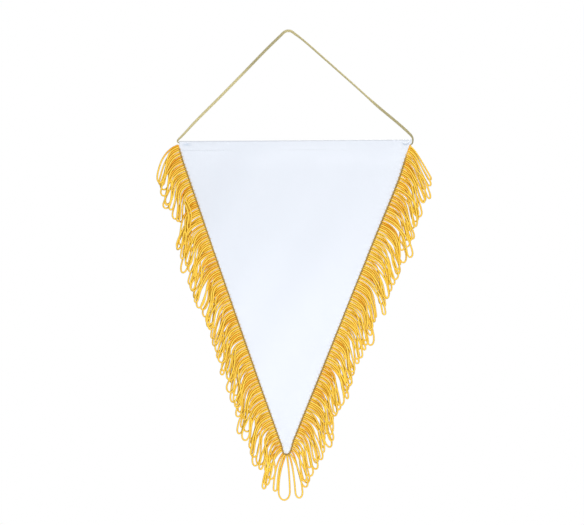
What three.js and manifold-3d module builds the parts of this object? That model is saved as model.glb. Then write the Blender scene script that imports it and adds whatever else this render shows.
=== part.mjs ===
// Pennant that hangs by a cord: a triangle of cloth with a stick in its top hem, a cord from one end of the
// hem to the other, and a loop fringe along both long sides and round the tip.
// Millimetres, +Z up, +X to the right, the front faces -Y. The origin is the underside of the cord at its
// peak, where a nail bears.

import * as THREE from "three";
import { mergeVertices } from "three/addons/utils/BufferGeometryUtils.js";
import Module from "manifold-3d";

// Clearance between neighbouring pieces
const GAP = 0.3;

// The two side seams, straight lines in the x, z plane that would cross below the tip
const SEAM_CROSSING = new THREE.Vector2(-2.2, -370.2);
const LEFT_LEAN = 0.344;
const RIGHT_LEAN = 0.394;
const TIP_RADIUS = 2.6;

// Cloth
const CLOTH_THICK = 1;
const PANEL_Y = -CLOTH_THICK / 2;
const BILLOW = 1.6;
const BILLOW_HALF_WIDTH = 130;
const TIP_CURL = 2.4;
const PANEL_ROWS = 12;
const PANEL_COLUMNS = 12;

// Rows of the cloth below its tip's centre, as shares of the tip's radius
const TIP_ROWS = [0, -0.3, -0.85];

// Hem and the stick in it, along a line that rises a little to the right
const STICK_RADIUS = 1;
const STICK_HEIGHT = -95.3;
const STICK_TILT = 0.0065;
const TUNNEL_RADIUS = STICK_RADIUS + GAP;
const ROLL_RADIUS = TUNNEL_RADIUS + CLOTH_THICK;
const HEM_DEPTH = 8.2;
const HEM_LEFT = -93.8;
const HEM_RIGHT = 105.2;
const MOUTH_DEPTH = 4;
const STICK_SIDES = 12;
const ROLL_STEPS = 12;

// Below level, the hem's layers draw together over this angle and meet at this height under the stick
const ROLL_TUCK = 0.2 * Math.PI;
const PINCH = -5.1;

// Cord
const CORD_RADIUS = 1;
const CORD_SIDES = 8;
const CORD_STEPS_PER_POINT = 3;

// Fringe: its heading is a narrow strip beside the cloth's edge
const STRIP_WIDTH = 1.7;
const STRIP_THICK = 1.7;
const STRIP_TOP = -97.8;
const STRIP_SIDE_STEPS = 10;
const STRIP_TIP_STEPS = 8;
const LOOP_COUNT = 120;
const STRAND_RADIUS = 0.6;
const LAYERS = [-2.1, 0.7, -0.7, 2.1];
const LAYER_RUN = 0.35;
const LEG_STEPS = 4;
const END_STEPS = 3;
const LEG_SPACING = 2.2;

// How the loops hang: how far an end swings out and drops below its root, and how far the yarn runs
// straight out of the heading first
const LOOP_SWING = 18.5;
const LOOP_DROP = 28.5;
const LOOP_ELBOW = 11;
const LOOP_END_RADIUS = 2.4;
const TIP_END_RADIUS = 4.3;
const TIP_DROP = 36;
const LEG_CROWDING = 1.1;
const OPENING = 1.3;

// Near the tip the loops hang steeper, longer and wider, and at the right corner they droop sooner
const TIP_ZONE = 50;
const TIP_SWING_LOSS = 0.45;
const TIP_DROP_POWER = 2;
const TIP_WIDTH_POWER = 8;
const LIMP_ZONE = 40;
const LIMP_LOSS = 0.7;

// Random spread of the loops, as shares
const LENGTH_SPREAD = 0.1;
const SWING_SPREAD = 0.08;
const WIDTH_SPREAD = 0.3;

// Uneven swing along each side, as a share of LOOP_SWING, by the distance down from the hem
const LEFT_SWING = [
  { down: 0, swing: 1.02 },
  { down: 30, swing: 1.0 },
  { down: 52, swing: 0.72 },
  { down: 78, swing: 1.02 },
  { down: 110, swing: 0.94 },
  { down: 128, swing: 1.18 },
  { down: 150, swing: 0.98 },
  { down: 290, swing: 1.0 },
];
const RIGHT_SWING = [
  { down: 0, swing: 1.04 },
  { down: 25, swing: 0.96 },
  { down: 48, swing: 1.14 },
  { down: 85, swing: 1.26 },
  { down: 110, swing: 1.08 },
  { down: 170, swing: 1.1 },
  { down: 240, swing: 0.98 },
  { down: 290, swing: 1.04 },
];

const colours = { cloth: 0xecf0f7, stick: 0xd9c9a5, cord: 0xb3a56f, fringe: 0xf0b840 };

const wasm = await Module();
wasm.setup();

// Straight stretches between given points, with a step of an extrusion at each point
class Route extends THREE.Curve {
  constructor(points) {
    super();
    this.points = points;
  }

  getPoint(t, target = new THREE.Vector3()) {
    const last = this.points.length - 1;
    const place = THREE.MathUtils.clamp(t, 0, 1) * last;
    const index = Math.min(Math.floor(place), last - 1);
    return target.lerpVectors(this.points[index], this.points[index + 1], place - index);
  }

  getUtoTmapping(u) {
    return u;
  }
}

function tube(points, section) {
  return new THREE.ExtrudeGeometry(section, {
    steps: points.length - 1,
    extrudePath: new Route(points),
    bevelEnabled: false,
  });
}

function polygon(sides, radius) {
  const corners = [];
  for (let i = 0; i < sides; i++) {
    const angle = ((i + 0.5) / sides) * 2 * Math.PI;
    corners.push(new THREE.Vector2(radius * Math.cos(angle), radius * Math.sin(angle)));
  }
  return new THREE.Shape(corners);
}

function closed(geometry) {
  geometry.deleteAttribute("normal");
  geometry.deleteAttribute("uv");
  return mergeVertices(geometry, 1e-3);
}

function toSolid(geometry) {
  const merged = closed(geometry);
  const mesh = new wasm.Mesh({
    numProp: 3,
    vertProperties: merged.attributes.position.array,
    triVerts: new Uint32Array(merged.index.array),
  });
  return new wasm.Manifold(mesh);
}

function toGeometry(solid) {
  const { vertProperties, triVerts } = solid.getMesh();
  const geometry = new THREE.BufferGeometry();
  geometry.setAttribute("position", new THREE.BufferAttribute(vertProperties, 3));
  geometry.setIndex(new THREE.BufferAttribute(triVerts, 1));
  return geometry;
}

function piece(name, geometry, colour, roughness) {
  geometry.computeVertexNormals();
  const material = new THREE.MeshStandardMaterial({ color: colour, roughness, metalness: 0 });
  const mesh = new THREE.Mesh(geometry, material);
  mesh.name = name;
  return mesh;
}

// A repeatable number from 0 to 1 for each loop and purpose
function scatter(number, purpose) {
  const value = Math.sin(number * 12.9898 + purpose * 78.233) * 43758.5453;
  return value - Math.floor(value);
}

function fromTable(rows, down) {
  let swing = rows[0].swing;
  for (let i = 1; i < rows.length; i++) {
    const share = THREE.MathUtils.smoothstep(down, rows[i - 1].down, rows[i].down);
    swing += share * (rows[i].swing - rows[i - 1].swing);
  }
  return swing;
}

// Outward normals of the seams and the centre of the round at the tip
const leftNormal = new THREE.Vector2(-1, -LEFT_LEAN).normalize();
const rightNormal = new THREE.Vector2(1, -RIGHT_LEAN).normalize();
const tipCentre = leftNormal
  .clone()
  .add(rightNormal)
  .multiplyScalar(-TIP_RADIUS / (1 + leftNormal.dot(rightNormal)))
  .add(SEAM_CROSSING);

const leftSeam = (z) => SEAM_CROSSING.x - LEFT_LEAN * (z - SEAM_CROSSING.y);
const rightSeam = (z) => SEAM_CROSSING.x + RIGHT_LEAN * (z - SEAM_CROSSING.y);

// The middle line of the heading: down the left seam, round the tip and up the right seam
const seam = new THREE.Path();
seam.moveTo(leftSeam(STRIP_TOP), STRIP_TOP);
seam.lineTo(tipCentre.x + TIP_RADIUS * leftNormal.x, tipCentre.y + TIP_RADIUS * leftNormal.y);
seam.absarc(tipCentre.x, tipCentre.y, TIP_RADIUS, leftNormal.angle(), rightNormal.angle(), false);
seam.lineTo(rightSeam(STRIP_TOP), STRIP_TOP);
const seamLength = seam.getLength();
const tipShare = (seam.curves[0].getLength() + seam.curves[1].getLength() / 2) / seamLength;

// How far the hanging cloth stands out of its plane: a shallow belly, and a tip that curls to the back
function billow(x, z) {
  const top = STICK_HEIGHT - HEM_DEPTH;
  const down = THREE.MathUtils.clamp((top - z) / (top - tipCentre.y), 0, 1);
  const across = 1 - (x / BILLOW_HALF_WIDTH) ** 2;
  return TIP_CURL * down ** 3 - BILLOW * Math.sin(Math.PI * down) * across;
}

// Cloth edges, a strip's half width and a gap inside the seams, round at the tip and cut square at the hem
const inset = STRIP_WIDTH / 2 + GAP;
const clothTip = TIP_RADIUS - inset;

function roundedHalf(z) {
  return Math.sqrt(Math.max(clothTip ** 2 - (z - tipCentre.y) ** 2, 0));
}

function leftEdge(z) {
  if (z < tipCentre.y + clothTip * leftNormal.y) return tipCentre.x - roundedHalf(z);
  return Math.max(leftSeam(z) - inset / leftNormal.x, HEM_LEFT);
}

function rightEdge(z) {
  if (z < tipCentre.y + clothTip * rightNormal.y) return tipCentre.x + roundedHalf(z);
  return Math.min(rightSeam(z) - inset / rightNormal.x, HEM_RIGHT);
}

// Section of the cloth in the y, z plane, measured from the stick's middle: up the front of the panel,
// round the stick, down the hem's turned back layer and down the back of the panel
function clothSection() {
  const tip = tipCentre.y - STICK_HEIGHT;
  const rows = TIP_ROWS.map((share) => tip + share * clothTip).reverse();
  for (let i = 0; i <= PANEL_ROWS; i++) {
    rows.push(THREE.MathUtils.lerp(tip + clothTip, -HEM_DEPTH, i / PANEL_ROWS));
  }
  const front = rows.map((z) => new THREE.Vector2(-CLOTH_THICK, z));
  const back = rows.map((z) => new THREE.Vector2(0, z)).reverse();
  const roll = [];
  for (let i = 0; i <= ROLL_STEPS; i++) {
    const angle = THREE.MathUtils.lerp(Math.PI + ROLL_TUCK, -ROLL_TUCK, i / ROLL_STEPS);
    roll.push(new THREE.Vector2(ROLL_RADIUS * Math.cos(angle), ROLL_RADIUS * Math.sin(angle)));
  }
  const section = new THREE.Shape([
    ...front,
    new THREE.Vector2(-CLOTH_THICK, PINCH),
    ...roll,
    new THREE.Vector2(CLOTH_THICK, PINCH),
    new THREE.Vector2(CLOTH_THICK, -HEM_DEPTH),
    ...back,
  ]);
  section.holes.push(new THREE.Path(polygon(STICK_SIDES, TUNNEL_RADIUS).getPoints()));
  return section;
}

function cloth() {
  const geometry = new THREE.ExtrudeGeometry(clothSection(), {
    steps: PANEL_COLUMNS,
    depth: 1,
    bevelEnabled: false,
  });
  const position = geometry.attributes.position;
  for (let i = 0; i < position.count; i++) {
    const share = position.getZ(i);
    const level = STICK_HEIGHT + position.getY(i);
    const across = THREE.MathUtils.lerp(leftEdge(level), rightEdge(level), share);
    const z = level + STICK_TILT * across;
    const x = THREE.MathUtils.lerp(leftEdge(z), rightEdge(z), share);
    position.setXYZ(i, x, position.getX(i) + billow(x, z), z);
  }
  return piece("cloth", closed(geometry), colours.cloth, 0.45);
}

function hemStick() {
  const from = HEM_LEFT + MOUTH_DEPTH;
  const to = HEM_RIGHT - MOUTH_DEPTH;
  const geometry = new THREE.CylinderGeometry(STICK_RADIUS, STICK_RADIUS, to - from, STICK_SIDES);
  geometry.rotateZ(Math.PI / 2);
  const mesh = piece("hem_stick", geometry, colours.stick, 0.6);
  const middle = (from + to) / 2;
  mesh.position.set(middle, 0, STICK_HEIGHT + STICK_TILT * middle);
  mesh.rotation.y = -Math.atan(STICK_TILT);
  return mesh;
}

// The cord's middle line in the x, z plane, from inside the hem's left mouth to inside its right mouth
const cordRoute = [
  [-90.1, -95.9],
  [-92.6, -95.9],
  [-94.6, -95.95],
  [-95.9, -95.5],
  [-96.3, -94.4],
  [-95.6, -93.1],
  [-92.8, -90.4],
  [-80.4, -77.1],
  [-59.6, -56.3],
  [-39.3, -35.6],
  [-19.1, -14.8],
  [-7.6, -3.6],
  [-3.7, 0.05],
  [-1.8, 0.9],
  [0, 1.0],
  [1.9, 0.75],
  [5.6, -1.8],
  [12.4, -7.0],
  [33.2, -25.2],
  [56.6, -45.9],
  [76.9, -64.2],
  [95.9, -80.1],
  [104.0, -87.5],
  [106.6, -90.4],
  [107.6, -92.6],
  [107.4, -94.2],
  [106.2, -94.65],
  [104.4, -94.62],
  [101.5, -94.64],
];

function hangingCord() {
  const points = cordRoute.map(([x, z]) => new THREE.Vector3(x, 0, z));
  const line = new THREE.CatmullRomCurve3(points, false, "centripetal");
  const steps = line.getPoints((points.length - 1) * CORD_STEPS_PER_POINT);
  const geometry = tube(steps, polygon(CORD_SIDES, CORD_RADIUS));
  return piece("hanging_cord", closed(geometry), colours.cord, 0.7);
}

function onCloth(flat) {
  return new THREE.Vector3(flat.x, PANEL_Y + billow(flat.x, flat.y), flat.y);
}

// The heading's middle line: few steps along the straight seams and many round the tip
function headingPoints() {
  const [leftLength, roundLength] = seam.curves.map((stretch) => stretch.getLength());
  const roundFrom = leftLength / seamLength;
  const roundTo = (leftLength + roundLength) / seamLength;
  const shares = [];
  for (let i = 0; i < STRIP_SIDE_STEPS; i++) {
    shares.push((i / STRIP_SIDE_STEPS) * roundFrom);
  }
  for (let i = 0; i < STRIP_TIP_STEPS; i++) {
    shares.push(THREE.MathUtils.lerp(roundFrom, roundTo, i / STRIP_TIP_STEPS));
  }
  for (let i = 0; i <= STRIP_SIDE_STEPS; i++) {
    shares.push(THREE.MathUtils.lerp(roundTo, 1, i / STRIP_SIDE_STEPS));
  }
  return shares.map((share) => onCloth(seam.getPointAt(share)));
}

// Points of one loop of yarn: out of the heading, over in a bend, down to a round end and back
function loopPoints(number) {
  const along = (number + ((tipShare * LOOP_COUNT) % 1)) / LOOP_COUNT;
  const root = seam.getPointAt(along);
  const tangent = seam.getTangentAt(along);
  const outward = new THREE.Vector2(tangent.y, -tangent.x);
  const down = Math.min(along, 1 - along) * seamLength;
  const nearTip = 1 - THREE.MathUtils.smoothstep(seamLength / 2 - down, 0, TIP_ZONE);
  const limp = along < 0.5 ? 0 : 1 - THREE.MathUtils.smoothstep(down, 0, LIMP_ZONE);

  const spread = (purpose, share) => 1 + share * (2 * scatter(number, purpose) - 1);
  const length = spread(1, LENGTH_SPREAD);
  const lean = fromTable(along < 0.5 ? LEFT_SWING : RIGHT_SWING, down) * spread(2, SWING_SPREAD);
  const wide = LOOP_END_RADIUS * spread(3, WIDTH_SPREAD);
  const endRadius = THREE.MathUtils.lerp(wide, TIP_END_RADIUS, nearTip ** TIP_WIDTH_POWER);
  const swing = outward.x * LOOP_SWING * lean * length * (1 - TIP_SWING_LOSS * nearTip);
  const drop = THREE.MathUtils.lerp(LOOP_DROP, TIP_DROP, nearTip ** TIP_DROP_POWER) * length;
  const straight = LOOP_ELBOW * length * (1 - LIMP_LOSS * limp);
  const elbow = outward.clone().multiplyScalar(straight).add(root);
  const end = new THREE.Vector2(root.x + swing, root.y - drop);
  const hang = new THREE.QuadraticBezierCurve(root, elbow, end);
  const layer = LAYERS[number % LAYERS.length];
  const rootY = onCloth(root).y;

  const at = (share, sideways, ahead) => {
    const flat = hang.getPoint(share);
    const way = hang.getTangent(share);
    const x = flat.x + way.x * ahead - way.y * sideways;
    const z = flat.y + way.y * ahead + way.x * sideways;
    return new THREE.Vector3(x, rootY + layer * THREE.MathUtils.smoothstep(share, 0, LAYER_RUN), z);
  };
  const halfWidth = (share) => {
    const open = THREE.MathUtils.smoothstep(share, 0, 1) ** OPENING;
    return THREE.MathUtils.lerp(LEG_SPACING / 2, endRadius, open);
  };

  const leg = [];
  for (let i = 0; i < LEG_STEPS; i++) {
    leg.push((i / LEG_STEPS) ** LEG_CROWDING);
  }
  const points = leg.map((share) => at(share, halfWidth(share), 0));
  for (let i = 0; i <= END_STEPS; i++) {
    const angle = (i / END_STEPS) * Math.PI;
    points.push(at(1, endRadius * Math.cos(angle), endRadius * Math.sin(angle)));
  }
  leg.reverse();
  points.push(...leg.map((share) => at(share, -halfWidth(share), 0)));
  return points;
}

function fringe() {
  const halfWidth = STRIP_WIDTH / 2;
  const halfThick = STRIP_THICK / 2;
  const section = new THREE.Shape([
    new THREE.Vector2(-halfThick, -halfWidth),
    new THREE.Vector2(halfThick, -halfWidth),
    new THREE.Vector2(halfThick, halfWidth),
    new THREE.Vector2(-halfThick, halfWidth),
  ]);
  let solid = toSolid(tube(headingPoints(), section));
  for (let i = 0; i < LOOP_COUNT; i++) {
    solid = solid.add(toSolid(tube(loopPoints(i), polygon(3, STRAND_RADIUS))));
  }
  return piece("fringe", toGeometry(solid), colours.fringe, 0.65);
}

const pennant = new THREE.Group();
pennant.add(cloth(), hemStick(), hangingCord(), fringe());
export default pennant;
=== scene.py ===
"""A hanging pennant: satin cloth with a hem stick, a flat braid to hang it by and a gold loop fringe."""

import bpy
import numpy as np
from bpy.props import FloatProperty, FloatVectorProperty, IntProperty, PointerProperty
from mathutils import Matrix


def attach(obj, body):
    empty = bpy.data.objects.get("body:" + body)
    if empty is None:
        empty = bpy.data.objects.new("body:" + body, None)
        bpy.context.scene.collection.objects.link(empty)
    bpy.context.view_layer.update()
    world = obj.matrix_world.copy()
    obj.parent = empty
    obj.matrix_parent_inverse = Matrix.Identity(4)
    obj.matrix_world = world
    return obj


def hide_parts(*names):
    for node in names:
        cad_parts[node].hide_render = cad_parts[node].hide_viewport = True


bl_info = {
    "name": "Hanging Pennant",
    "version": (1, 0, 0),
    "blender": (4, 5, 0),
    "location": "View3D > Sidebar > Pennant",
    "description": "Builds a fringed satin pennant that hangs by a braid",
    "category": "Add Mesh",
}

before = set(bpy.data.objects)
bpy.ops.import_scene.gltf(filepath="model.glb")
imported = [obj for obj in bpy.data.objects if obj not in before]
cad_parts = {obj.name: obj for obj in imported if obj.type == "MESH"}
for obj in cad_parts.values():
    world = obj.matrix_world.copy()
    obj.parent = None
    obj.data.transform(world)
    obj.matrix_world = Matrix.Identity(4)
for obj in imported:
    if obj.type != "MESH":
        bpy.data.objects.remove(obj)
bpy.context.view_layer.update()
MM = 0.001

# The two side seams are straight lines in the x, z plane that would cross below the tip, and their slopes
CROSSING = np.array([-2.2, -370.2]) * MM
LEFT_LEAN = 0.344
RIGHT_LEAN = 0.394

# The upper end of the heading, the middle of the stick at x = 0 and its slope, and the hem's two ends
STRIP_TOP = -97.8 * MM
STICK_HEIGHT = -95.3 * MM
STICK_TILT = 0.0065
HEM_LEFT = -94.9 * MM
HEM_RIGHT = 106.2 * MM

# The half width at which the cloth's belly has faded out, and the depth of the heading
BILLOW_HALF_WIDTH = 130 * MM
HEADING_DEPTH = -0.5 * MM

# Half the gap between the middles of the cloth's two layers in the hem, the height over which the front
# layer eases back from the roll, and how far inside the heading's middle the cloth's edge lies
HALF_GAP = 0.2 * MM
EASE = 24 * MM
INSET = 0.1 * MM

# Rows of the cloth's grid below the roll, round the stick and on the hem's back layer
FALL_ROWS, ROLL_ROWS, BACK_ROWS = 50, 26, 24

# The photo's frame in pixels, the size of a pixel at the pennant, and the camera's place
PHOTO_WIDTH = 584
PIXEL = 0.866 * MM
CAMERA_PLACE = (2.8 * MM, -1.6, -199.6 * MM)

# Each light's name, place, size and power
LIGHTS = (
    ("key", (0.12, -1.1, -0.4), 0.3, 6.2),
    ("fill", (0.1, -1.25, 0.75), 0.6, 8.4),
    ("back", (0.5, 1.1, 0.7), 1.0, 17),
)

# The cord's middle line, as (x, z) in millimetres, from inside the hem's left end to behind its right end
CORD_ROUTE = [
    (-90.1, -95.9), (-92.6, -95.9), (-94.6, -95.95), (-95.9, -95.5), (-96.3, -94.4), (-95.6, -93.1),
    (-92.8, -90.4), (-80.4, -77.1), (-59.6, -56.3), (-39.3, -35.6), (-19.1, -14.8), (-7.6, -3.6),
    (-3.7, 0.05), (-1.8, 0.9), (0, 1.0), (1.9, 0.75), (5.6, -1.8), (12.4, -7.0), (33.2, -25.2),
    (56.6, -45.9), (76.9, -64.2), (95.9, -80.1), (104.0, -87.5), (106.6, -90.4), (107.5, -92.8),
    (107.4, -94.8), (107.0, -96.4), (106.0, -97.3), (104.6, -97.7),
]

# How far back the last three of those points lie, in millimetres
CORD_END_DEPTHS = [0.3, 1.0, 1.6]

# How the flat braid turns along its length, as (share of the length, degrees from face on)
CORD_TURNS = [
    (0.0, 60), (0.05, 50), (0.12, 22), (0.36, 18), (0.45, 5), (0.49, 25), (0.54, 58), (0.78, 62),
    (0.84, 15), (0.93, 8), (0.97, 40), (1.0, 60),
]

# The tone of each strand of the braid
STRAND_TONES = np.array([0.05, 0.45, 0.2, 0.6, 0.3])

# How much painted shade darkens the braid along its length, where it is turned to its shaded face, as (share
# of the length, amount)
CORD_SHADE = [(0, 0.5), (0.06, 0), (0.28, 0), (0.35, 1), (0.44, 1), (0.5, 0.2), (0.78, 0), (0.86, 1), (1, 1)]

# Uneven swing of the loops along each side, as (millimetres down from the hem, share of the usual swing)
LEFT_SWING = [
    (0, 0.84), (14, 0.93), (28, 0.93), (40, 0.34), (50, 0.42), (62, 0.98), (86, 0.82), (110, 1.05),
    (134, 0.79), (156, 0.91), (188, 0.79), (221, 0.82), (250, 0.98),
]
RIGHT_SWING = [
    (0, 1.1), (23, 0.9), (44, 0.93), (70, 1.02), (95, 0.98), (140, 0.94), (172, 0.87), (200, 0.88),
    (225, 0.75), (250, 1.02),
]

# How far each seam bows out of its straight line, as (millimetres down from the hem, millimetres outwards)
LEFT_BOW = [(0, 0.1), (18, 0.75), (160, 0.7), (215, 0.55), (275, 0.1), (284, 0.9)]
RIGHT_BOW = [(0, 0.2), (36, 2.0), (100, 1.15), (150, 0.75), (200, 0.65), (275, 0.1), (284, 0.9)]

# How the loops stand along the seam: how much each side closes up round the tip, the random part of a
# root's place, the bare length at each end, and the length beside the tip in which the loops turn downwards
CROWDING = 2 * MM
ROOT_SPREAD = 0.2 * MM
ROOT_MARGIN = 0.6 * MM
TIP_ZONE = 50 * MM

# How the loops hang: the random and the slow share of their length and of their lean, the stretch that
# stands straight out, and how far and how unevenly their ends lean outwards, as shares of the swing
LENGTH_SPREAD, LENGTH_WAVE = 0.08, 0.045
LEAN_SPREAD, LEAN_WAVE = 0.12, 0.07
STRAIGHT = 12.5 * MM
HANG_LEAN, HANG_SPREAD = 0.22, 0.1

# The loops' ends: the least radius and its random part, the radius of the loop at the tip, the share of
# loops that are turned over, and how unevenly the loops turn, in radians, and sway
END_RADIUS, END_SPREAD = 1.2 * MM, 2.5 * MM
TIP_END_RADIUS = 4.9 * MM
TURNED_OVER, TURN_SPREAD = 0.16, 0.45
SWAY = 1.6 * MM

# The depths at which the loops lie by turns, and the random part of a depth
LAYERS = np.array([-2.1, 0.7, -0.7, 2.1]) * MM
LAYER_SPREAD = 0.7 * MM

# Points along a leg of a loop and round its end
LEG_STEPS, END_STEPS = 26, 13


class PENNANT_PG_cloth(bpy.types.PropertyGroup):
    """Sizes of the cloth and its hem"""

    thick: FloatProperty(
        name="Cloth thickness", description="Thickness of the satin", default=0.35 * MM, unit="LENGTH"
    )
    roll: FloatProperty(
        name="Hem roll radius",
        description="Radius of the cloth's middle layer round the stick",
        default=1.275 * MM,
        unit="LENGTH",
    )
    hem: FloatProperty(
        name="Hem depth",
        description="Height of the turned hem below the stick's middle",
        default=9.2 * MM,
        unit="LENGTH",
    )
    hem_seam: FloatProperty(
        name="Hem seam",
        description="Height of the hem's row of stitches below the stick's middle",
        default=6.75 * MM,
        unit="LENGTH",
    )
    belly: FloatProperty(
        name="Belly", description="How far the cloth bellies to the front", default=1.6 * MM, unit="LENGTH"
    )
    tip_curl: FloatProperty(
        name="Tip curl", description="How far the tip curls to the back", default=2.4 * MM, unit="LENGTH"
    )
    tip_radius: FloatProperty(
        name="Tip radius", description="Radius of the seam round the tip", default=2.6 * MM, unit="LENGTH"
    )


class PENNANT_PG_fringe(bpy.types.PropertyGroup):
    """Sizes of the fringe"""

    loops: IntProperty(name="Loops", description="Number of loops of yarn", default=168)
    yarn: FloatProperty(
        name="Yarn thickness", description="Diameter of the yarn", default=1.65 * MM, unit="LENGTH"
    )
    swing: FloatProperty(
        name="Swing",
        description="How far a loop's end stands out from its root",
        default=18.5 * MM,
        unit="LENGTH",
    )
    drop: FloatProperty(
        name="Drop",
        description="How far a loop's end hangs below its root",
        default=28.5 * MM,
        unit="LENGTH",
    )
    seed: IntProperty(name="Seed", description="Seed of the fringe's disorder", default=9)


class PENNANT_PG_cord(bpy.types.PropertyGroup):
    """Sizes of the hanging cord"""

    width: FloatProperty(
        name="Braid width", description="Width of the flat braid", default=2.6 * MM, unit="LENGTH"
    )
    strand: FloatProperty(
        name="Strand thickness",
        description="Thickness of a strand of the braid",
        default=0.78 * MM,
        unit="LENGTH",
    )
    plait: FloatProperty(
        name="Plait length",
        description="Length in which a strand crosses the braid and comes back",
        default=5.4 * MM,
        unit="LENGTH",
    )


class PENNANT_PG_colours(bpy.types.PropertyGroup):
    """Colours of the finishes"""

    satin: FloatVectorProperty(
        name="Satin", description="Colour of the cloth", subtype="COLOR", default=(0.685, 0.715, 0.772)
    )
    gold: FloatVectorProperty(
        name="Gold", description="Main colour of the yarn", subtype="COLOR", default=(0.99, 0.66, 0.07)
    )
    amber: FloatVectorProperty(
        name="Amber", description="Deeper colour of the yarn", subtype="COLOR", default=(0.89, 0.39, 0.01)
    )
    straw: FloatVectorProperty(
        name="Straw",
        description="Colour of the yarn at a loop's end",
        subtype="COLOR",
        default=(1.0, 0.64, 0.06),
    )
    olive: FloatVectorProperty(
        name="Olive", description="Colour of the braid", subtype="COLOR", default=(0.74, 0.65, 0.34)
    )
    thread: FloatVectorProperty(
        name="Thread",
        description="Colour of the thread along the heading",
        subtype="COLOR",
        default=(0.32, 0.2, 0.035),
    )
    wood: FloatVectorProperty(
        name="Wood", description="Colour of the hem stick", subtype="COLOR", default=(0.72, 0.6, 0.42)
    )


def smooth(value, low, high):
    """The cubic 3t^2 - 2t^3 of how far value is from low to high, held at 0 and 1 outside."""
    t = np.clip((value - low) / (high - low), 0, 1)
    return t * t * (3 - 2 * t)


def bell(value, width):
    """The bell curve exp(-(value / width)^2)."""
    return np.exp(-((value / width) ** 2))


def unit(vectors):
    """Vectors divided by their lengths."""
    return vectors / np.maximum(np.linalg.norm(vectors, axis=-1, keepdims=True), 1e-12)


class Outline:
    """The pennant's seams in the x, z plane: down the left, round the tip and up the right."""

    def __init__(self, tip_radius):
        self.radius = tip_radius
        self.left_normal = unit(np.array([-1, -LEFT_LEAN]))
        self.right_normal = unit(np.array([1, -RIGHT_LEAN]))
        spread = 1 + self.left_normal @ self.right_normal
        self.centre = CROSSING - tip_radius * (self.left_normal + self.right_normal) / spread
        self.left_top = np.array([self.left(STRIP_TOP), STRIP_TOP])
        self.right_top = np.array([self.right(STRIP_TOP), STRIP_TOP])
        self.left_foot = self.centre + tip_radius * self.left_normal
        self.right_foot = self.centre + tip_radius * self.right_normal
        self.start = np.arctan2(self.left_normal[1], self.left_normal[0]) + 2 * np.pi
        self.turn = np.arctan2(self.right_normal[1], self.right_normal[0]) + 2 * np.pi - self.start
        self.left_length = np.linalg.norm(self.left_foot - self.left_top)
        self.round_length = tip_radius * self.turn
        self.right_length = np.linalg.norm(self.right_foot - self.right_top)
        self.length = self.left_length + self.round_length + self.right_length
        self.tip_at = self.left_length + self.round_length / 2

    def left(self, z):
        """The left straight line's x at a height."""
        return CROSSING[0] - LEFT_LEAN * (z - CROSSING[1])

    def right(self, z):
        """The right straight line's x at a height."""
        return CROSSING[0] + RIGHT_LEAN * (z - CROSSING[1])

    def bowed(self, z, side):
        """How far the left (-1) or right (1) seam lies sideways of its straight line at a height."""
        top, normal, rows = (
            (self.left_top, self.left_normal, LEFT_BOW)
            if side < 0
            else (self.right_top, self.right_normal, RIGHT_BOW)
        )
        down = (top[1] - z) / abs(normal[0])
        return side * MM * table(rows, np.maximum(down, 0) / MM) / abs(normal[0])

    def at(self, distance):
        """Points and outward normals at distances along the seam: a straight line on each side of an arc,
        each point moved out by the seam's bow."""
        place, normal = self.straight(distance)
        down = np.minimum(distance, self.length - np.asarray(distance)) / MM
        bow = np.where(distance < self.tip_at, table(LEFT_BOW, down), table(RIGHT_BOW, down)) * MM
        return place + normal * bow[..., None], normal

    def straight(self, distance):
        """Points and outward normals of the seam without its bow."""
        distance = np.asarray(distance, float)
        angle = self.start + self.turn * np.clip((distance - self.left_length) / self.round_length, 0, 1)
        normal = np.stack([np.cos(angle), np.sin(angle)], -1)
        before = np.minimum(distance - self.left_length, 0)[..., None]
        after = np.maximum(distance - self.left_length - self.round_length, 0)[..., None]
        down = unit(self.left_foot - self.left_top)
        up = unit(self.right_top - self.right_foot)
        return self.centre + self.radius * normal + before * down + after * up, normal


def billow(x, z, cloth, outline):
    """The cloth's shift along y: a tip curl of the cubed share down, less a sine belly that fades
    sideways."""
    top = STICK_HEIGHT - cloth.hem
    down = np.clip((top - z) / (top - outline.centre[1]), 0, 1)
    across = 1 - (x / BILLOW_HALF_WIDTH) ** 2
    return cloth.tip_curl * down**3 - cloth.belly * np.sin(np.pi * down) * across


def hem_fall(x, z, cloth):
    """How far the cloth hangs forward of its own plane below the stick: it eases from the front of the hem's
    roll back to the plane."""
    return (cloth.roll - HALF_GAP) * smooth(z - STICK_HEIGHT - STICK_TILT * x, -EASE, 0)


def new_object(name, points, faces, corner_uv=None, tones=None):
    """Puts arrays of points and faces into a new smooth mesh object at the origin."""
    mesh = bpy.data.meshes.new(name)
    mesh.from_pydata(points.tolist(), [], faces)
    if corner_uv is not None:
        layer = mesh.uv_layers.new(name="UVMap")
        layer.data.foreach_set("uv", corner_uv.astype(np.float32).ravel())
    if tones is not None:
        attribute = mesh.attributes.new("tone", "FLOAT", "POINT")
        attribute.data.foreach_set("value", tones.astype(np.float32))
    mesh.polygons.foreach_set("use_smooth", np.ones(len(mesh.polygons), bool))
    mesh.update()
    piece = bpy.data.objects.new(name, mesh)
    bpy.context.scene.collection.objects.link(piece)
    return piece


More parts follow.
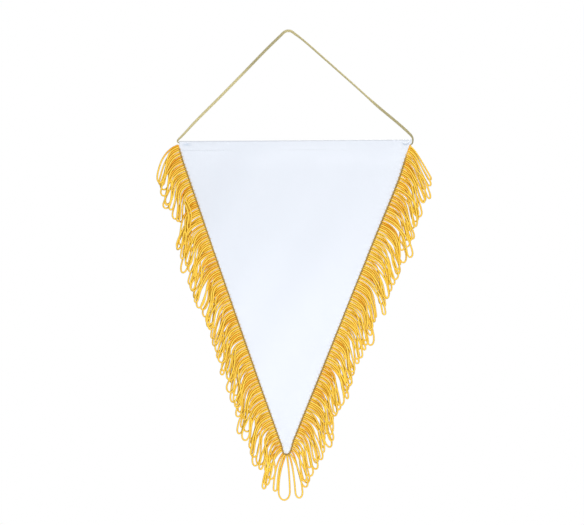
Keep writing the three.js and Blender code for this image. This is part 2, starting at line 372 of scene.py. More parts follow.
def tubes(lines, radius, sides):
    """Closed tubes along lines of shape (tubes, steps, 3): at each step a ring of points
    line + radius (cos a N + sin a B), with N across the line and the y axis, and B across both.
    Returns points, faces and each face corner's (share round, metres along)."""
    count, steps, _ = lines.shape
    way = unit(np.gradient(lines, axis=1))
    across = unit(np.cross(way, np.array([0.0, 1.0, 0.0])))
    depth = np.cross(way, across)
    angle = 2 * np.pi * np.arange(sides) / sides
    radius = np.broadcast_to(radius, (count, steps))[..., None, None]
    ring = np.cos(angle)[:, None] * across[:, :, None] + np.sin(angle)[:, None] * depth[:, :, None]
    points = (lines[:, :, None] + radius * ring).reshape(-1, 3)
    tube, step, side = np.meshgrid(np.arange(count), np.arange(steps - 1), np.arange(sides), indexing="ij")
    here = (tube * steps + step) * sides
    turned = (side + 1) % sides
    quads = np.stack([here + side, here + turned, here + sides + turned, here + sides + side], -1)
    starts = (np.arange(count) * steps * sides)[:, None]
    first = starts + np.arange(sides)[::-1]
    last = starts + (steps - 1) * sides + np.arange(sides)
    faces = quads.reshape(-1, 4).tolist() + first.tolist() + last.tolist()
    walked = np.cumsum(np.linalg.norm(np.diff(lines, axis=1), axis=2), axis=1)
    walked = np.concatenate([np.zeros((count, 1)), walked], 1)
    low, high = walked[tube, step], walked[tube, step + 1]
    round_low, round_high = side / sides, (side + 1) / sides
    wall_uv = np.stack(
        [
            np.stack([round_low, round_high, round_high, round_low], -1),
            np.stack([low, low, high, high], -1),
        ],
        -1,
    ).reshape(-1, 2)
    cap_uv = np.zeros((2 * count * sides, 2))
    return points, faces, np.concatenate([wall_uv, cap_uv])


def joined(parts):
    """One set of points, faces and corner coordinates from several."""
    points, faces, corner_uv, base = [], [], [], 0
    for part_points, part_faces, part_uv in parts:
        points.append(part_points)
        faces += [[base + index for index in face] for face in part_faces]
        corner_uv.append(part_uv)
        base += len(part_points)
    return np.concatenate(points), faces, np.concatenate(corner_uv)


def spline(points, steps):
    """A centripetal Catmull-Rom curve through the points, with steps to each stretch between two of them."""
    padded = np.concatenate([[2 * points[0] - points[1]], points, [2 * points[-1] - points[-2]]])
    a, b, c, d = (padded[i : len(padded) - 3 + i, None] for i in range(4))
    gaps = np.linalg.norm(np.diff(padded, axis=0), axis=1) ** 0.5
    t1 = gaps[:-2, None, None]
    t2 = t1 + gaps[1:-1, None, None]
    t3 = t2 + gaps[2:, None, None]
    t = t1 + (t2 - t1) * (np.arange(steps) / steps)[None, :, None]
    ab = (t1 - t) / t1 * a + t / t1 * b
    bc = (t2 - t) / (t2 - t1) * b + (t - t1) / (t2 - t1) * c
    cd = (t3 - t) / (t3 - t2) * c + (t - t2) / (t3 - t2) * d
    abc = (t2 - t) / t2 * ab + t / t2 * bc
    bcd = (t3 - t) / (t3 - t1) * bc + (t - t1) / (t3 - t1) * cd
    curve = (t2 - t) / (t2 - t1) * abc + (t - t1) / (t2 - t1) * bcd
    return np.concatenate([curve.reshape(-1, 3), points[-1:]])


def table(rows, value):
    """Values of a two-column table: its first amount, and an eased step from each row to the next."""
    places, amounts = np.array(rows, float).T
    result = np.full(np.shape(value), amounts[0])
    for low, high, step in zip(places[:-1], places[1:], np.diff(amounts)):
        result = result + step * smooth(value, low, high)
    return result


# Materials


def material(name):
    """A new material, with its maker of links, its Principled shader and a maker of nodes."""
    made = bpy.data.materials.new(name)
    made.use_nodes = True
    tree = made.node_tree
    shader = tree.nodes["Principled BSDF"]

    def node(kind, **values):
        new = tree.nodes.new(kind)
        for key, value in values.items():
            if key.startswith("in_"):
                slot = key[3:]
                new.inputs[int(slot) if slot.isdigit() else slot.replace("_", " ")].default_value = value
            else:
                setattr(new, key, value)
        return new

    return made, tree.links.new, shader, node


def mixed(link, node, factor, first, second):
    """A colour mix of two colours or sockets by a factor socket."""
    mix = node("ShaderNodeMix", data_type="RGBA")
    link(factor, mix.inputs[0])
    for socket, value in ((mix.inputs[6], first), (mix.inputs[7], second)):
        if isinstance(value, bpy.types.NodeSocket):
            link(value, socket)
        else:
            socket.default_value = (*value, 1)
    return mix.outputs[2]


def stretched_noise(link, node, scale, detail, size=(1, 1, 1)):
    """A noise pattern on object coordinates, stretched by size."""
    place = node("ShaderNodeTexCoord")
    mapping = node("ShaderNodeMapping")
    mapping.inputs["Scale"].default_value = size
    pattern = node("ShaderNodeTexNoise", in_Scale=scale, in_Detail=detail)
    link(place.outputs["Object"], mapping.inputs["Vector"])
    link(mapping.outputs["Vector"], pattern.inputs["Vector"])
    return pattern.outputs["Fac"]


def bumped(link, node, shader, height, strength, distance):
    """A bump from a height socket, on the shader's normal."""
    bump = node("ShaderNodeBump", in_Strength=strength, in_Distance=distance)
    link(height, bump.inputs["Height"])
    link(bump.outputs["Normal"], shader.inputs["Normal"])


def satin_finish(colours):
    """White satin: fine upright floats, faint cool clouds in the colour, a painted shade (a grey) in the
    hem's folds and a soft broad gloss."""
    made, link, shader, node = material("satin")
    clouds = stretched_noise(link, node, 9.0, 3.0)
    floats = stretched_noise(link, node, 900.0, 3.0, (1.0, 1.0, 0.12))
    base = tuple(colours.satin)
    shade = tuple(c * d for c, d in zip(base, (0.965, 0.975, 0.99)))
    # Painted shade: the satin turns grey where the hem's folds are deep, by the fold depth in the tone
    # attribute
    fold_shade = node("ShaderNodeAttribute", attribute_name="tone")
    cloudy = mixed(link, node, clouds, base, shade)
    fold_shade_colour = tuple(c * d for c, d in zip(base, (0.68, 0.75, 0.82)))
    link(mixed(link, node, fold_shade.outputs["Fac"], cloudy, fold_shade_colour), shader.inputs["Base Color"])
    shader.inputs["Roughness"].default_value = 0.42
    shader.inputs["Specular IOR Level"].default_value = 0.35
    shader.inputs["Sheen Weight"].default_value = 0.15
    shader.inputs["Sheen Roughness"].default_value = 0.4
    bumped(link, node, shader, floats, 0.12, 0.1 * MM)
    return made


def wood_finish(colours):
    """Pale smooth wood with grain along the stick."""
    made, link, shader, node = material("stick_wood")
    grain = stretched_noise(link, node, 400.0, 4.0, (0.04, 1.0, 1.0))
    base = tuple(colours.wood)
    link(mixed(link, node, grain, base, tuple(0.7 * c for c in base)), shader.inputs["Base Color"])
    shader.inputs["Roughness"].default_value = 0.55
    bumped(link, node, shader, grain, 0.3, 0.1 * MM)
    return made


def twist_pattern(link, node, plies, pitch):
    """Two patterns on a tube. One winds round it: the sine of (plies times the share round plus metres
    along / pitch). The other is 1 on the tube's flanks and 0 on its front and back: the squared cosine round
    it. It is the mask of the painted shade on the flanks."""
    place = node("ShaderNodeTexCoord")
    split = node("ShaderNodeSeparateXYZ")
    link(place.outputs["UV"], split.inputs[0])
    twice = node("ShaderNodeMath", operation="MULTIPLY", in_1=4 * np.pi)
    link(split.outputs["X"], twice.inputs[0])
    cosine = node("ShaderNodeMath", operation="COSINE")
    link(twice.outputs[0], cosine.inputs[0])
    flank_shade_mask = node("ShaderNodeMath", operation="MULTIPLY_ADD", in_1=0.5, in_2=0.5)
    link(cosine.outputs[0], flank_shade_mask.inputs[0])
    wound = node("ShaderNodeMath", operation="MULTIPLY", in_1=2 * np.pi * plies)
    link(split.outputs["X"], wound.inputs[0])
    along = node("ShaderNodeMath", operation="MULTIPLY_ADD", in_1=2 * np.pi / pitch)
    link(split.outputs["Y"], along.inputs[0])
    link(wound.outputs[0], along.inputs[2])
    wave = node("ShaderNodeMath", operation="SINE")
    link(along.outputs[0], wave.inputs[0])
    half = node("ShaderNodeMath", operation="MULTIPLY_ADD", in_1=0.5, in_2=0.5)
    link(wave.outputs[0], half.inputs[0])
    return half.outputs[0], flank_shade_mask.outputs[0]


def yarn_finish(name, tones, twist, gloss, sheen=0.0, plies=2, flank_shade=0.3, shine=0.5):
    """Twisted yarn: plies wound round it, a soft gloss, and for each length of yarn a tone of its own
    between the given colours, which lie at even steps from 0 to 1. Its flanks take a painted shade, a
    darker, warmer copy of the last colour, by the given amount, in place of the shade that neighbouring
    yarns cast on them."""
    made, link, shader, node = material(name)
    wave, flank_shade_mask = twist_pattern(link, node, plies, twist)
    tone = node("ShaderNodeAttribute", attribute_name="tone")
    base, steps = tones[0], len(tones) - 1
    for number, colour in enumerate(tones[1:]):
        step = node("ShaderNodeMapRange", in_1=number / steps, in_2=(number + 1) / steps)
        link(tone.outputs["Fac"], step.inputs[0])
        base = mixed(link, node, step.outputs[0], base, colour)
    # Painted shade: the flanks darken towards a darker, warmer copy of the last colour, by the given amount
    amount = node("ShaderNodeMath", operation="MULTIPLY", in_1=flank_shade)
    link(flank_shade_mask, amount.inputs[0])
    dark = tuple(c * d for c, d in zip(tones[-1], (0.5, 0.6, 0.45)))
    base = mixed(link, node, amount.outputs[0], base, dark)
    groove = node("ShaderNodeMix", data_type="RGBA", blend_type="MULTIPLY")
    shade = node("ShaderNodeMapRange", in_3=0.94, in_4=1.0)
    link(wave, shade.inputs[0])
    groove.inputs[0].default_value = 1.0
    link(base, groove.inputs[6])
    link(shade.outputs[0], groove.inputs[7])
    link(groove.outputs[2], shader.inputs["Base Color"])
    shader.inputs["Roughness"].default_value = gloss
    shader.inputs["Specular IOR Level"].default_value = shine
    shader.inputs["Sheen Weight"].default_value = sheen
    shader.inputs["Sheen Roughness"].default_value = 0.35
    bumped(link, node, shader, wave, 0.15, 0.1 * MM)
    return made


def floor_finish():
    """Pale matt paper."""
    made, link, shader, node = material("pale_floor")
    grain = stretched_noise(link, node, 60.0, 3.0)
    link(mixed(link, node, grain, (0.86, 0.86, 0.86), (0.9, 0.9, 0.9)), shader.inputs["Base Color"])
    shader.inputs["Roughness"].default_value = 0.8
    return made


# Pieces


def cloth_surface(cloth, outline, columns, panel_rows):
    """The cloth's middle layer as a grid: the rows follow the section from the tip up the front, round the
    stick and down the hem's back layer, and the columns run from the left edge to the right edge. The front
    layer falls from the front of the roll as in hem_fall, and the back layer closes up to it. Returns x, z,
    y, the height over the stick's middle, the distance to the nearer edge and which rows are the front."""
    tip = outline.centre[1] - STICK_HEIGHT
    tip_edge = outline.radius - INSET
    round_rows = tip - tip_edge * np.array([0.97, 0.9, 0.75, 0.5, 0.2])
    panel = tip + (-EASE - tip) * np.linspace(0, 1, panel_rows) ** 0.9
    fall = -EASE * np.linspace(1, 0, FALL_ROWS)[1:] ** 1.4
    up_z = np.concatenate([round_rows, panel, fall])
    up_y = -HALF_GAP - (cloth.roll - HALF_GAP) * smooth(up_z, -EASE, 0)
    turn = np.linspace(np.pi, 0, ROLL_ROWS)[1:-1]
    back_z = np.linspace(0, -cloth.hem, BACK_ROWS)
    back_y = HALF_GAP - (cloth.roll - HALF_GAP) * smooth(back_z, -EASE, 0)
    back_y = back_y + (cloth.roll - back_y) * smooth(back_z, -6 * MM, 0)
    front = np.arange(len(up_y) + len(turn) + len(back_y))[:, None] < len(up_y)
    section_y = np.concatenate([up_y, cloth.roll * np.cos(turn), back_y])[:, None]
    section_z = np.concatenate([up_z, cloth.roll * np.sin(turn), back_z])[:, None]
    even = np.linspace(0, 1, columns)
    share = (0.45 * even + 0.55 * (0.5 - 0.5 * np.cos(np.pi * even)))[None, :]

    def edges(z):
        """The cloth's left and right edge at a height: the seams, the round tip, and the hem's ends."""
        low = outline.centre[1]
        half = np.sqrt(np.maximum(tip_edge**2 - (z - low) ** 2, 0))
        left = outline.left(z) - INSET / outline.left_normal[0] + outline.bowed(z, -1)
        right = outline.right(z) - INSET / outline.right_normal[0] + outline.bowed(z, 1)
        left = np.where(z < low + tip_edge * outline.left_normal[1], outline.centre[0] - half, left)
        right = np.where(z < low + tip_edge * outline.right_normal[1], outline.centre[0] + half, right)
        hem_end = smooth(z, STRIP_TOP - 2 * MM, STRIP_TOP)
        left = left + hem_end * (np.maximum(left, HEM_LEFT) - left)
        right = right + hem_end * (np.minimum(right, HEM_RIGHT) - right)
        return left, right

    level = STICK_HEIGHT + section_z
    left, right = edges(level)
    z = level + STICK_TILT * (left + (right - left) * share)
    left, right = edges(z)
    x = left + (right - left) * share
    edge = np.minimum(x - left, right - x)
    return x, z, section_y + 0 * share, section_z + 0 * share, edge, front


def hem_folds(x, local):
    """Depth, from 0 to 1, of the folds below the stick at the hem's two ends: bells in both directions about
    a level spot on the left and about a parabola, low in its middle, on the right."""
    from_left, from_right = x + 88.8 * MM, x - 101.2 * MM
    left = 0.75 * bell(from_left, 3.2 * MM) * bell(local + 1.6 * MM, 1.1 * MM)
    low = (1.9 * (from_right / (3.6 * MM)) ** 2 - 2.7) * MM
    return left + bell(from_right, 3.4 * MM) * bell(local - low, 0.55 * MM)


def cloth_points(cloth, outline, columns, panel_rows):
    """The grid of cloth_surface with its shifts along y: the billow, low sine waves, a pucker beside the
    side seams that fades exponentially, a bell-shaped trough along the hem's stitches, fuller ends of the
    hem and, at the front, the folds at its ends. Returns the points and the depth of those folds, which
    also sets the painted shade in the satin's colour there."""
    x, z, y, local, edge, front = cloth_surface(cloth, outline, columns, panel_rows)
    panel = smooth(-local, 0, cloth.hem + 4 * MM)
    waves = 0.32 * MM * np.sin(x / (17 * MM) + 1.1 + 0.9 * np.sin(z / (46 * MM)))
    waves += 0.24 * MM * np.sin(z / (21 * MM) + 0.7 * np.sin(x / (29 * MM) + 0.5) + 2.0)
    waves += 0.14 * MM * np.sin((x - 0.6 * z) / (9 * MM) + 0.8)
    side = np.where(x < outline.centre[0], 0.0, 2.1)
    pucker = 0.16 * MM * np.exp(-edge / (3.2 * MM))
    pucker = pucker * (np.sin(z / (1.1 * MM) + side) + 0.6 * np.sin(z / (2.9 * MM) + 2 * side))
    seam = bell(local + cloth.hem_seam, 0.55 * MM)
    trough = 0.03 * MM * seam * (1 + 0.3 * np.sin(x / (0.45 * MM)))
    ends = bell(edge, 7 * MM) * smooth(local, -3.6 * MM, -0.6 * MM)
    fold_depth_and_shade = np.where(front, hem_folds(x, local), 0)
    y = y * (1 + 0.18 * ends)
    y = y + np.where(front, trough, -trough) + 0.9 * MM * fold_depth_and_shade
    y = y + billow(x, z, cloth, outline) + panel * (waves + pucker)
    z = z + 0.08 * ends * np.maximum(local, 0)
    return np.stack([x, y, z], -1), fold_depth_and_shade


def grid_faces(rows, columns):
    """Faces of a grid of points, row by row."""
    row, column = np.meshgrid(np.arange(rows - 1), np.arange(columns - 1), indexing="ij")
    here = row * columns + column
    return np.stack([here, here + 1, here + columns + 1, here + columns], -1).reshape(-1, 4).tolist()


def stitch_lines(starts, ends, bulge, steps):
    """Short arcs of thread from each start to its end, raised by a half sine of the bulge vectors."""
    t = np.linspace(0, 1, steps)[None, :, None]
    return starts[:, None] + (ends - starts)[:, None] * t + bulge[:, None] * np.sin(np.pi * t)


def slow_noise(number, period, rng):
    """A smooth value between about -1 and 1 for each number: two sines of unlike periods, at random
    phases."""
    phases = 2 * np.pi * rng.random(2)
    slow = np.sin(2 * np.pi * number / period + phases[0])
    return 0.6 * slow + 0.5 * np.sin(2 * np.pi * number / (1.618 * period) + phases[1])


def loop_roots(count, outline, rng):
    """Distances of the loops' roots along the seam: even steps from the root at the tip, closed up there by
    an exponential of the distance from it, and moved a little at random."""
    pitch = (outline.length + 2 * CROWDING) / count
    from_tip = (np.arange(count) - (outline.tip_at + CROWDING) // pitch) * pitch
    from_tip = from_tip - CROWDING * np.sign(from_tip) * (1 - np.exp(-np.abs(from_tip) / CROWDING))
    distance = outline.tip_at + from_tip + ROOT_SPREAD * (2 * rng.random(count) - 1)
    return np.clip(distance, ROOT_MARGIN, outline.length - ROOT_MARGIN)


def loop_lines(fringe, cloth, outline, rng):
    """Middle lines of the loops, of shape (loops, steps, 3). A loop hangs from its root along a cubic
    Bezier curve: straight out of the heading at first, then down, and still a little outwards at its end.
    Its two legs stand off that curve by a half width that opens towards the end, and meet there in half an
    ellipse. The width turns round the curve as the yarn twists, and slow sines move the whole loop a little.
    The loops are calmer at the two top corners, and the one at the tip hangs straight down."""
    count = fringe.loops
    number = np.arange(count)
    distance = loop_roots(count, outline, rng)
    root, outward = outline.at(distance)
    down = np.minimum(distance, outline.length - distance)
    from_tip = distance - outline.tip_at
    near_tip = 1 - smooth(np.abs(from_tip), 0, TIP_ZONE)
    at_tip = bell(from_tip, MM)
    is_left = distance < outline.tip_at

    # Towards the top corners the loops are limp, so that they hang sooner, and calm, so that they vary less
    limp = np.where(is_left, 0.35 - 0.35 * smooth(down, 0, 25 * MM), 1 - smooth(down, 0, 40 * MM))
    calm = 0.3 + 0.7 * smooth(down, 0, 25 * MM)

    # Lengths and leans differ from loop to loop and in slow waves, which make the bunches
    bunch = slow_noise(number, 7.3, rng) + 0.7 * slow_noise(number, 3.4, rng)
    length = LENGTH_SPREAD * (2 * rng.random(count) - 1) + LENGTH_WAVE * slow_noise(number, 5.1, rng)
    length = 1 + length * (1 - at_tip)
    lean = np.where(is_left, table(LEFT_SWING, down / MM), table(RIGHT_SWING, down / MM))
    lean = lean * (1 + calm * (LEAN_SPREAD * (2 * rng.random(count) - 1) + LEAN_WAVE * bunch))

    # The swing to the side and the drop of each end: near the tip the loops hang closer together and lower
    spread = 1 - 0.4 * near_tip + 0.25 * bell(from_tip, 9 * MM) - 0.42 * bell(from_tip, 2.2 * MM)
    swing = outward[:, 0] * fringe.swing * lean * length * spread
    longer = 1.5 * near_tip**2 + 4.5 * bell(from_tip - 0.6 * MM, 1.6 * MM) - 1
    short = 1 - 0.1 * is_left * np.exp(-down / (14 * MM))
    drop = fringe.drop * length * short + longer * MM
    end_radius = END_RADIUS + END_SPREAD * rng.random(count) ** 1.2
    end_radius = end_radius + (TIP_END_RADIUS - end_radius) * at_tip

    # The four points of each loop's curve are root, elbow, hang and end
    straight = STRAIGHT * length * (1 - 0.7 * limp) * (1 - 0.7 * near_tip**6)
    elbow = root + outward * straight[:, None]
    end = root + np.stack([swing - 1.5 * MM * at_tip, -drop], -1)
    hang_lean = HANG_LEAN + 0.25 * np.where(is_left, 0, limp)
    hang_lean = hang_lean + calm * rng.normal(0, HANG_SPREAD, count) * (1 - at_tip)
    hang = end + np.stack([-hang_lean * swing, (0.6 + 0.02 * near_tip) * drop], -1)
    layer = LAYERS[number % len(LAYERS)] + LAYER_SPREAD * (2 * rng.random(count) - 1)
    twist = np.where(rng.random(count) < TURNED_OVER, np.pi, 0) + rng.normal(0, TURN_SPREAD, count)
    twist = twist * (1 - near_tip**12)
    sway = rng.normal(0, SWAY, (count, 2)) * (calm * (1 - 0.8 * near_tip**20))[:, None]
    phase = rng.random((count, 2)) * 2 * np.pi

    # The share of the curve at each point: down one leg, round the end and back up the other
    leg = (np.arange(LEG_STEPS) / LEG_STEPS) ** 1.05
    bend = np.linspace(0, np.pi, END_STEPS)
    share = np.concatenate([leg, np.ones(END_STEPS), leg[::-1]])[None]
    opening = (0.5 * (1 - near_tip) * (0.15 + 1.4 * rng.random(count)))[:, None]
    open_leg = smooth(leg, opening, 1.02)
    root_half = 0.49 * fringe.yarn
    leg_half = root_half + (end_radius[:, None] - root_half) * open_leg
    sideways = np.concatenate([leg_half, end_radius[:, None] * np.cos(bend), -leg_half[:, ::-1]], 1)
    no_lead = np.zeros((count, LEG_STEPS))
    pointed = (1.2 + 1.0 * rng.random(count))[:, None]
    ahead = np.concatenate([no_lead, pointed * end_radius[:, None] * np.sin(bend), no_lead], 1)

    go = share[..., None]
    stay = 1 - go
    curve = stay**3 * root[:, None] + 3 * stay**2 * go * elbow[:, None]
    curve = curve + 3 * stay * go**2 * hang[:, None] + go**3 * end[:, None]
    way = stay**2 * (elbow - root)[:, None] + 2 * stay * go * (hang - elbow)[:, None]
    way = unit(way + go**2 * (end - hang)[:, None])
    turn = twist[:, None] * smooth(share, 0.25, 1)
    flat = sideways * np.cos(turn)
    deep = 0.75 * sideways * np.sin(turn)
    wobble = smooth(share, 0.3, 0.9) * np.sin(2.6 * share + phase[:, :1])
    ripple = smooth(share, 0.1, 0.7) * np.sin(3.4 * share + phase[:, 1:])
    aside = flat + sway[:, :1] * wobble
    x = curve[..., 0] + way[..., 0] * ahead - way[..., 1] * aside
    z = curve[..., 1] + way[..., 1] * ahead + way[..., 0] * aside
    plane = heading_depth(root[:, 0], root[:, 1], cloth, outline)
    y = plane[:, None] + layer[:, None] * smooth(share, 0, 0.35) + deep + sway[:, 1:] * ripple
    return np.stack([x, y, z], -1)


def heading_depth(x, z, cloth, outline):
    """The heading's depth along y at a place: its own depth, the cloth's billow and its fall from the
    hem."""
    return HEADING_DEPTH + billow(x, z, cloth, outline) - hem_fall(x, z, cloth)


def on_seam(distance, inward, depth, cloth, outline):
    """Points at distances along the seam, moved inward over the cloth and by a depth along y."""
    place, normal = outline.at(distance)
    place = place - normal * np.asarray(inward)[..., None]
    x, z = place[..., 0], place[..., 1]
    return np.stack([x, heading_depth(x, z, cloth, outline) + depth, z], -1)


def finish_piece(piece, made):
    """Gives a new piece its material and the body it rides on."""
    piece.data.materials.append(made)
    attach(piece, "root")


class PENNANT_OT_stage(bpy.types.Operator):
    """Make the camera, the soft lights, the white surroundings and the pale floor"""

    bl_idname = "pennant.stage"
    bl_label = "Stage"

    def execute(self, context):
        scene = context.scene
        scene.view_settings.view_transform = "Standard"
        camera = bpy.data.cameras.new("camera")
        camera.sensor_width = 36
        camera.lens = camera.sensor_width * -CAMERA_PLACE[1] / (PHOTO_WIDTH * PIXEL)
        holder = bpy.data.objects.new("camera", camera)
        holder.location = CAMERA_PLACE
        holder.rotation_euler = (np.pi / 2, 0, 0)
        scene.collection.objects.link(holder)
        scene.camera = holder
        for light in LIGHTS:
            self.light(context, *light)
        self.surroundings(scene)
        self.floor(context)
        return {"FINISHED"}

    def light(self, context, name, place, size, power):
        """A square area light that faces the middle of the pennant."""
        lamp = bpy.data.lights.new(name, "AREA")
        lamp.size = size
        lamp.energy = power
        holder = bpy.data.objects.new(name, lamp)
        holder.location = place
        middle = np.array([0, 0, -0.2])
        z_axis = unit(np.array(place) - middle)
        x_axis = unit(np.cross([0, 1, 0.001], z_axis))
        turn = np.stack([x_axis, np.cross(z_axis, x_axis), z_axis], 1)
        matrix = np.eye(4)
        matrix[:3, :3] = turn
        matrix[:3, 3] = place
        holder.matrix_world = Matrix(matrix.tolist())
        context.scene.collection.objects.link(holder)

    def surroundings(self, scene):
        """White to look at, and a softer cool white as light."""
        world = bpy.data.worlds.new("surroundings")
        scene.world = world
        world.use_nodes = True
        nodes, link = world.node_tree.nodes, world.node_tree.links.new
        nodes.clear()
        seen = nodes.new("ShaderNodeBackground")
        seen.inputs["Color"].default_value = (1, 1, 1, 1)
        lit = nodes.new("ShaderNodeBackground")
        lit.inputs["Color"].default_value = (0.97, 0.985, 1, 1)
        lit.inputs["Strength"].default_value = 0.38
        path = nodes.new("ShaderNodeLightPath")
        mix = nodes.new("ShaderNodeMixShader")
        out = nodes.new("ShaderNodeOutputWorld")
        link(path.outputs["Is Camera Ray"], mix.inputs[0])
        link(lit.outputs[0], mix.inputs[1])
        link(seen.outputs[0], mix.inputs[2])
        link(mix.outputs[0], out.inputs["Surface"])

    def floor(self, context):
        """A round pale floor, well below the pennant and out of the camera's view."""
        corners, radius, level = 96, 1.1, -0.78
        angle = np.linspace(0, 2 * np.pi, corners + 1)[:-1]
        rim = np.stack([radius * np.cos(angle), radius * np.sin(angle), np.full(corners, level)], -1)
        floor = new_object("floor", rim, [list(range(corners))])
        floor.data.materials.append(floor_finish())


class PENNANT_OT_cord(bpy.types.Operator):
    """Plait the flat hanging braid along its route: its strands zigzag from edge to edge, each passes over
    and under the others in turn, and the braid is drawn in at its two ends"""

    bl_idname = "pennant.cord"
    bl_label = "Hanging braid"

    def execute(self, context):
        sizes, colours = context.scene.pennant_cord, context.scene.pennant_colours
        route = np.array([(x, 0, z) for x, z in CORD_ROUTE]) * MM
        route[-len(CORD_END_DEPTHS) :, 1] = np.array(CORD_END_DEPTHS) * MM
        rough = spline(route, 40)
        walked = np.concatenate([[0], np.cumsum(np.linalg.norm(np.diff(rough, axis=0), axis=1))])
        length = walked[-1]
        steps, sides, strands = 900, 6, len(STRAND_TONES)
        along = np.linspace(0, length, steps)
        middle = np.stack([np.interp(along, walked, rough[:, i]) for i in range(3)], -1)
        way = unit(np.gradient(middle, axis=0))
        across = unit(np.cross(way, [0, 1, 0]))
        depth = np.cross(way, across)
        turn = np.radians(table(CORD_TURNS, along / length))[:, None]
        wide = np.cos(turn) * across + np.sin(turn) * depth
        thin = -np.sin(turn) * across + np.cos(turn) * depth
        to_end = np.minimum(along, length - along)
        squeeze = 0.55 + 0.45 * smooth(to_end, 5 * MM, 12 * MM)
        phase = 2 * np.pi * (along / sizes.plait + np.arange(strands)[:, None] / strands)
        zigzag = np.arcsin(0.97 * np.cos(phase)) / 1.33  # nearly 1 at its rounded peaks
        reach = (sizes.width - sizes.strand) / 2 * squeeze
        sideways = (reach * zigzag)[..., None] * wide
        lift = np.cos(strands * phase) * np.clip(3 * np.sin(phase), -1, 1)
        over = (0.34 * sizes.strand * squeeze * lift)[..., None] * thin
        thickness = sizes.strand / 2 * (0.8 + 0.2 * squeeze)
        points, faces, corner_uv = tubes(middle + sideways + over, thickness, sides)
        # The strands' own tones plus the painted shade of CORD_SHADE, from the braid's olive towards a
        # darker copy of it
        tones = STRAND_TONES[:, None] + 0.55 * table(CORD_SHADE, along / length)
        tones = np.repeat(np.minimum(tones, 1).ravel(), sides)
        piece = new_object("hanging_braid", points, faces, corner_uv, tones)
        light = tuple(colours.olive)
        deep = tuple(0.5 * c for c in light)
        made = yarn_finish("olive_braid", (light, deep), 1.1 * MM, 0.5, sheen=0.2, plies=3)
        finish_piece(piece, made)
        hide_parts("hanging_cord")
        return {"FINISHED"}


class PENNANT_OT_cloth(bpy.types.Operator):
    """Make the satin cloth, its hem's stitches and the finish of the stick in the hem"""

    bl_idname = "pennant.cloth"
    bl_label = "Cloth and hem"

    def execute(self, context):
        scene = context.scene
        sizes, colours = scene.pennant_cloth, scene.pennant_colours
        outline = Outline(sizes.tip_radius)
        points, fold_depth_and_shade = cloth_points(sizes, outline, columns=150, panel_rows=170)
        faces = grid_faces(*fold_depth_and_shade.shape)
        # The folds' depth is also the tone that paints a shade, a grey, into the satin there
        panel = new_object("satin_cloth", points.reshape(-1, 3), faces, tones=fold_depth_and_shade.ravel())
        wall = panel.modifiers.new("thickness", "SOLIDIFY")
        wall.thickness = sizes.thick
        wall.offset = 0
        finish_piece(panel, satin_finish(colours))
        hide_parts("cloth")
        self.hem_stitches(sizes, outline)
        stick = bpy.data.objects["hem_stick"]
        stick.data.materials.clear()
        stick.data.materials.append(wood_finish(colours))
        return {"FINISHED"}

    def hem_stitches(self, sizes, outline):
        """A row of short white stitches on each face of the hem, half a pitch apart."""
        step, pitch = 1.7 * MM, 2.3 * MM
        depth, raised, radius = 0.26 * MM, 0.22 * MM, 0.11 * MM
        steps, sides = 7, 6
        start = np.arange(HEM_LEFT + 2.5 * MM, HEM_RIGHT - 3.5 * MM, pitch)
        parts = []
        for face, lay in ((-1, 0.0), (1, 0.5 * pitch)):
            ends = []
            for x in (start + lay, start + lay + step):
                z = STICK_HEIGHT - sizes.hem_seam + STICK_TILT * x
                y = face * depth - hem_fall(x, z, sizes)
                ends.append(np.stack([x, y, z], -1))
            bulge = np.tile([0, face * raised, 0], (len(start), 1))
            parts.append(tubes(stitch_lines(*ends, bulge, steps), radius, sides))
        piece = new_object("hem_stitches", *joined(parts))
        made = yarn_finish("white_thread", ((0.77, 0.8, 0.86), (0.72, 0.75, 0.81)), 0.6 * MM, 0.5)
        finish_piece(piece, made)


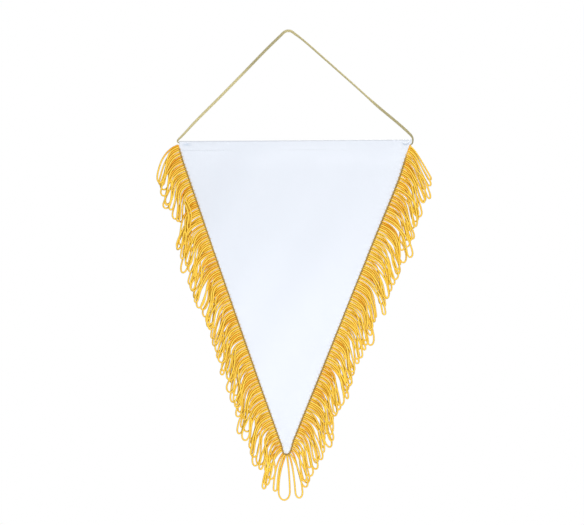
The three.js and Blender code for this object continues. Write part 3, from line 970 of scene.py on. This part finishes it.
class PENNANT_OT_fringe(bpy.types.Operator):
    """Make the loops of yarn, the heading that holds them and the thread that sews it on"""

    bl_idname = "pennant.fringe"
    bl_label = "Loop fringe"

    def execute(self, context):
        scene = context.scene
        sizes, cloth, colours = scene.pennant_fringe, scene.pennant_cloth, scene.pennant_colours
        outline = Outline(cloth.tip_radius)
        rng = np.random.default_rng(sizes.seed)
        gold = (tuple(colours.straw), tuple(colours.gold), tuple(colours.amber))

        lines = loop_lines(sizes, cloth, outline, rng)
        sides = 8
        along = np.linspace(-1, 1, lines.shape[1])
        radius = sizes.yarn / 2 * (0.92 + 0.08 * smooth(np.abs(along), 0.25, 0.85))
        points, faces, corner_uv = tubes(lines, radius, sides)
        # Each loop has a random tone of its own. On top of it, one leg is painted lighter and the other
        # darker, a painted light and shade on the pair, and towards the loop's end the tone eases to the
        # straw colour
        tones = 0.8 * rng.random(len(lines))[:, None] ** 2 + 0.35 * np.sign(along)
        tones = (0.5 + 0.5 * np.clip(tones, 0, 1)) * (0.1 + 0.9 * smooth(np.abs(along), 0.1, 0.75))
        tones = np.repeat(tones.ravel(), sides)
        loops = new_object("fringe_loops", points, faces, corner_uv, tones)
        # The gold yarn's flanks take a strong painted shade
        made = yarn_finish("gold_yarn", gold, 1.2 * MM, 0.38, flank_shade=0.78, shine=0.35)
        finish_piece(loops, made)
        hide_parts("fringe")

        heading = self.heading(cloth, outline, gold[1:])
        pitch = outline.length / sizes.loops
        sewing = self.sewing(cloth, outline, pitch, tuple(colours.thread))
        return {"FINISHED"}

    def heading(self, cloth, outline, gold):
        """A flat woven heading along the seam: three cords side by side, each a sine in depth along its
        length."""
        steps, sides, radius = 760, 8, 0.36 * MM
        distance = np.linspace(0, outline.length, steps)
        rows = []
        for row, inward in enumerate(np.array([-0.35, 0.0, 0.35]) * MM):
            sway = 0.08 * MM * np.sin(distance / (0.55 * MM) + row * np.pi)
            rows.append(on_seam(distance, inward + 0 * distance, sway, cloth, outline))
        points, faces, corner_uv = tubes(np.stack(rows), radius, sides)
        tones = np.repeat([0.4, 0.7, 1.0], steps * sides)
        piece = new_object("fringe_heading", points, faces, corner_uv, tones)
        finish_piece(piece, yarn_finish("heading_yarn", gold, 1.6 * MM, 0.42))
        return piece

    def sewing(self, cloth, outline, pitch, colour):
        """A chain of links along the heading on each face, and at each link a short stitch over the cloth's
        edge. A link is a closed round that is drawn out along the seam. The thread is lighter in the short
        stitches and at the top right."""
        parts, tones = [], []
        margin, link_radius, stitch_radius = 3.5 * MM, 0.35 * MM, 0.21 * MM
        link_steps, stitch_steps, sides = 13, 5, 5
        starts = np.arange(margin, outline.length - margin - pitch, pitch)
        dark = smooth(outline.length - starts, 9 * MM, 16 * MM)
        angle = np.linspace(0, 2 * np.pi, link_steps)[None]
        for face in (-1, 1):
            distance = starts[:, None] + pitch * (0.5 + 0.62 * np.cos(angle))
            inward = 0.45 * np.sin(angle) * MM + 0 * distance
            depth = face * (0.5 + 0.1 * np.cos(angle)) * MM + 0 * distance
            parts.append(tubes(on_seam(distance, inward, depth, cloth, outline), link_radius, sides))
            level = np.ones_like(starts) * MM
            outer = on_seam(starts, -0.1 * level, face * 0.56 * MM, cloth, outline)
            inner = on_seam(starts + 0.25 * pitch, 1.5 * level, face * 0.26 * MM, cloth, outline)
            bulge = np.tile([0, face * 0.14 * MM, 0], (len(starts), 1))
            parts.append(tubes(stitch_lines(outer, inner, bulge, stitch_steps), stitch_radius, sides))
            tones += [np.repeat(dark, link_steps * sides), np.repeat(0.2 * dark, stitch_steps * sides)]
        piece = new_object("fringe_sewing", *joined(parts), np.concatenate(tones))
        light = tuple(3.0 * c for c in colour)
        finish_piece(piece, yarn_finish("olive_thread", (light, colour), 0.7 * MM, 0.55))
        return piece


class PENNANT_PT_sidebar(bpy.types.Panel):
    """Lists the pieces of the pennant"""

    bl_idname = "PENNANT_PT_sidebar"
    bl_label = "Hanging Pennant"
    bl_space_type = "VIEW_3D"
    bl_region_type = "UI"
    bl_category = "Pennant"

    def draw(self, context):
        for operator in OPERATORS:
            self.layout.operator(operator.bl_idname)
        for group in PROPERTIES:
            settings = getattr(context.scene, group)
            box = self.layout.box()
            for key in settings.__annotations__:
                box.prop(settings, key)


OPERATORS = (PENNANT_OT_stage, PENNANT_OT_cord, PENNANT_OT_cloth, PENNANT_OT_fringe)
PROPERTIES = {
    "pennant_cloth": PENNANT_PG_cloth,
    "pennant_fringe": PENNANT_PG_fringe,
    "pennant_cord": PENNANT_PG_cord,
    "pennant_colours": PENNANT_PG_colours,
}
CLASSES = (*PROPERTIES.values(), *OPERATORS, PENNANT_PT_sidebar)


def register():
    for cls in CLASSES:
        bpy.utils.register_class(cls)
    for name, group in PROPERTIES.items():
        setattr(bpy.types.Scene, name, PointerProperty(type=group))


def unregister():
    for name in PROPERTIES:
        delattr(bpy.types.Scene, name)
    for cls in reversed(CLASSES):
        bpy.utils.unregister_class(cls)


def main():
    register()
    bpy.ops.pennant.stage()
    bpy.ops.pennant.cord()
    bpy.ops.pennant.cloth()
    bpy.ops.pennant.fringe()
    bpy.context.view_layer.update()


if __name__ == "__main__":
    main()
